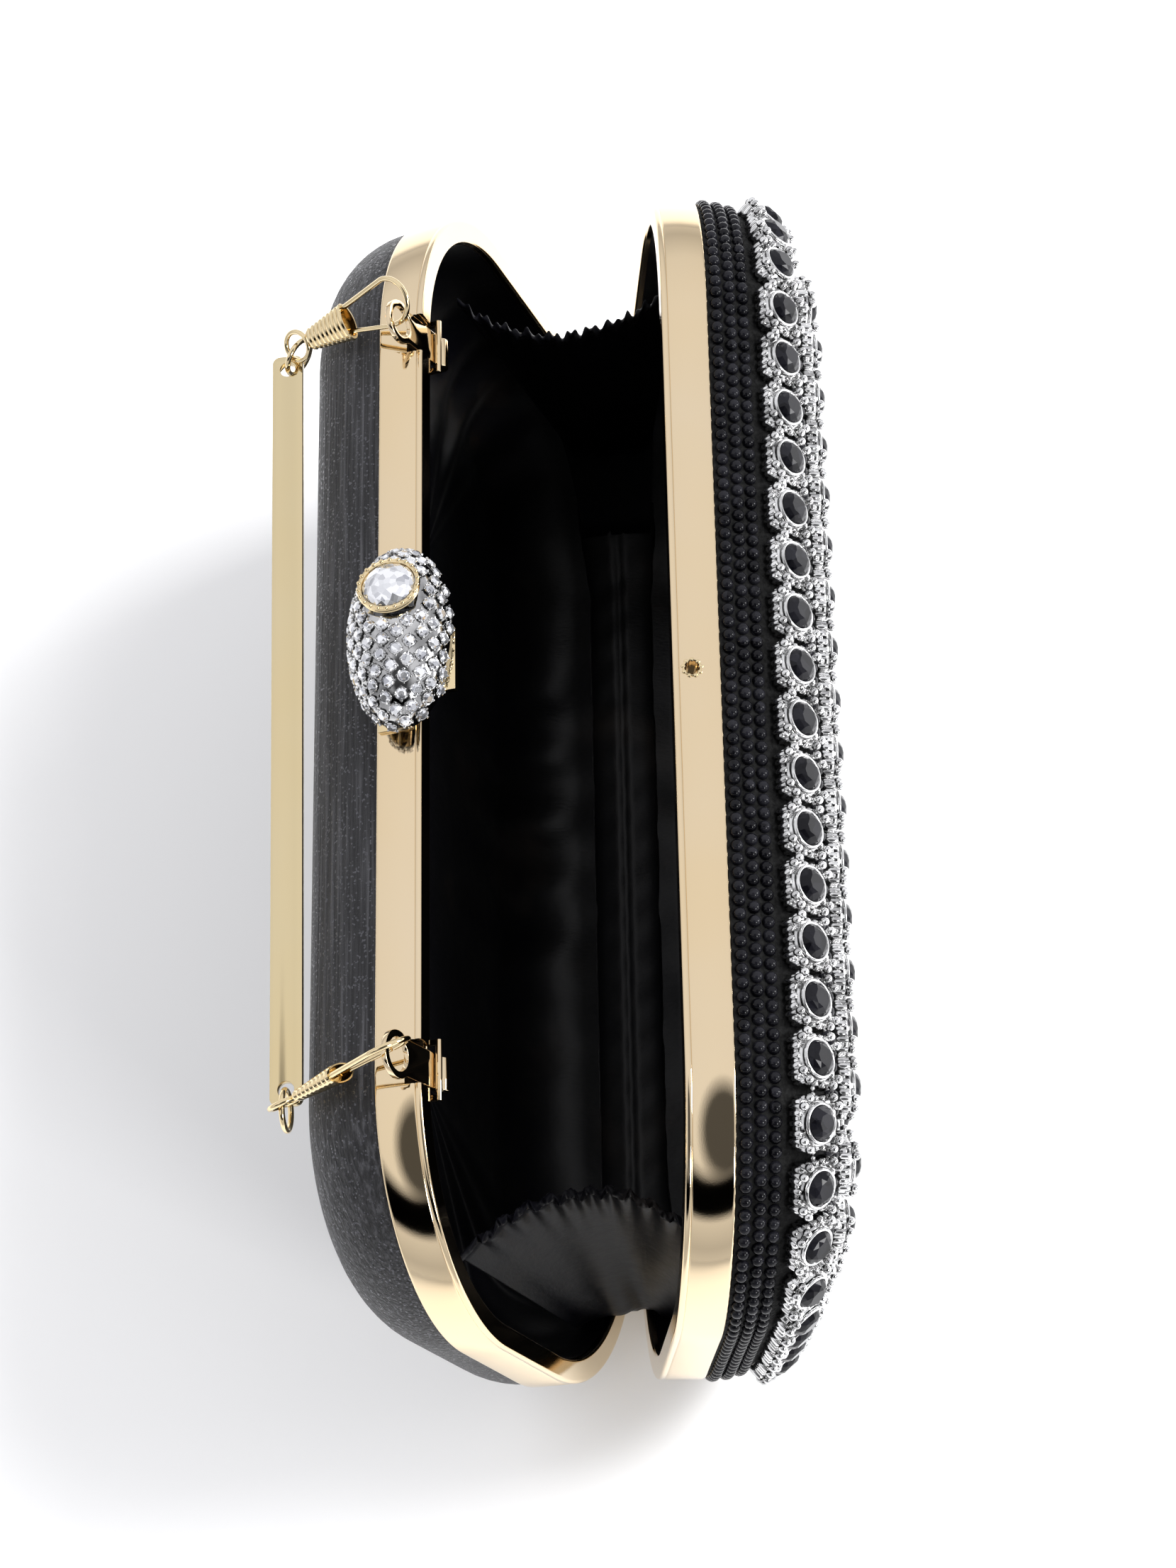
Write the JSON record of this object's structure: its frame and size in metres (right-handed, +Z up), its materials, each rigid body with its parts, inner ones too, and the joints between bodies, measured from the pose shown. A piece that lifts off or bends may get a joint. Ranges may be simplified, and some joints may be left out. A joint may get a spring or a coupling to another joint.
{
  "type": "evening bag",
  "caption": "Hard-case clutch bag, hinged along the base and standing open: metal frames, fabric back, stone-covered front, satin lining, sprung latch and swinging bar handle.",
  "frame": {"origin": "middle of the underside of the bounding box of the open bag, which stands on its two frames", "axes": "+X along the bag's width towards its far end, +Y towards the fabric-covered back half and the handle, +Z up"},
  "size_m": [0.1916, 0.0882, 0.1096],
  "materials": {
    "pale_gold": "mirror-polished pale champagne-gold plating",
    "steel": "plated steel pins, rivets and spring leaf",
    "board": "moulded board under the covering",
    "glitter_fabric": "charcoal-black ribbed fabric with fine glitter",
    "black_mesh": "black backing fabric under the stones",
    "satin": "black satin with a soft sheen",
    "black_stone": "opaque black faceted glass",
    "silver": "bright silver-tone plating",
    "silver_plated_plastic": "bright silver-tone plating over moulded plastic",
    "clear_crystal": "clear faceted crystal, foiled at the back"
  },
  "bodies": {
    "back_half": {"back_rim": "pale_gold", "back_shell": "board", "back_cover": "glitter_fabric", "back_lining": "satin", "hinge_leaves_back": "pale_gold", "hinge_rivets_back": "steel", "hinge_pins": "steel", "tab_keepers": "pale_gold", "keeper_rivets": "steel", "latch_bracket": "pale_gold", "latch_rivets": "steel", "latch_pin": "steel", "latch_spring": "steel", "near_gusset": "satin", "far_gusset": "satin", "base_gusset": "satin", "near_elastic": "satin", "far_elastic": "satin"},
    "front_half": {"front_rim": "pale_gold", "front_shell": "board", "front_cover": "black_mesh", "front_lining": "satin", "hinge_leaves_front": "pale_gold", "hinge_rivets_front": "steel", "catch_eyelet": "pale_gold", "small_stone_bands": "black_stone", "large_settings": "silver_plated_plastic", "large_stones": "black_stone"},
    "latch_rocker": {"latch_lever": "pale_gold", "latch_dome": "silver", "latch_main_bezel": "pale_gold", "latch_main_crystal": "clear_crystal", "latch_small_crystals": "clear_crystal"},
    "near_tab": {"near_tab": "pale_gold"},
    "far_tab": {"far_tab": "pale_gold"},
    "near_hook": {"near_hook_wire": "pale_gold", "near_hook_sleeve": "pale_gold"},
    "far_hook": {"far_hook_wire": "pale_gold", "far_hook_sleeve": "pale_gold"},
    "near_gate": {"near_hook_gate": "pale_gold"},
    "far_gate": {"far_hook_gate": "pale_gold"},
    "handle": {"handle_bar": "pale_gold", "jump_rings": "pale_gold"}
  },
  "joints": [
    {"name": "front_opening", "type": "hinge", "parent": "back_half", "child": "front_half", "pos_m": [0, -0.00127, 0.00145], "axis": [1, 0, 0], "range_deg": [-22.6, 0], "deforming": ["near_gusset", "base_gusset", "far_gusset", "near_elastic", "far_elastic"]},
    {"name": "latch_rock", "type": "hinge", "parent": "back_half", "child": "latch_rocker", "pos_m": [0.003, 0.02204, 0.09765], "axis": [-1, 0, 0], "range_deg": [-6, 8], "stiffness_Nm_per_rad": 0.02, "deforming": ["latch_spring"]},
    {"name": "near_tab_tilt", "type": "hinge", "parent": "back_half", "child": "near_tab", "pos_m": [-0.06, 0.01717, 0.09067], "axis": [1, 0, 0], "range_deg": [0, 30]},
    {"name": "far_tab_tilt", "type": "hinge", "parent": "back_half", "child": "far_tab", "pos_m": [0.06, 0.01717, 0.09067], "axis": [1, 0, 0], "range_deg": [0, 30]},
    {"name": "near_hook_swing", "type": "hinge", "parent": "near_tab", "child": "near_hook", "pos_m": [-0.06, 0.02173, 0.10236], "axis": [1, 0, 0], "range_deg": [0, 85]},
    {"name": "far_hook_swing", "type": "hinge", "parent": "far_tab", "child": "far_hook", "pos_m": [0.06, 0.02173, 0.10236], "axis": [1, 0, 0], "range_deg": [0, 85]},
    {"name": "handle_turn", "type": "hinge", "parent": "near_hook", "child": "handle", "pos_m": [0, 0.03983, 0.08921], "axis": [1, 0, 0], "range_deg": [0, 50]},
    {"name": "near_gate_open", "type": "hinge", "parent": "near_hook", "child": "near_gate", "pos_m": [-0.06091, 0.02944, 0.09514], "axis": [-0.8968, -0.3543, -0.265], "range_deg": [0, 20], "stiffness_Nm_per_rad": 0.0005},
    {"name": "far_gate_open", "type": "hinge", "parent": "far_hook", "child": "far_gate", "pos_m": [0.06151, 0.02977, 0.09549], "axis": [-0.5729, 0.5033, 0.6468], "range_deg": [0, 20], "stiffness_Nm_per_rad": 0.0005}
  ],
  "couplings": [
    {"joint": "far_tab_tilt", "follows": "near_tab_tilt", "ratio": 1},
    {"joint": "far_hook_swing", "follows": "near_hook_swing", "ratio": 1}
  ]
}
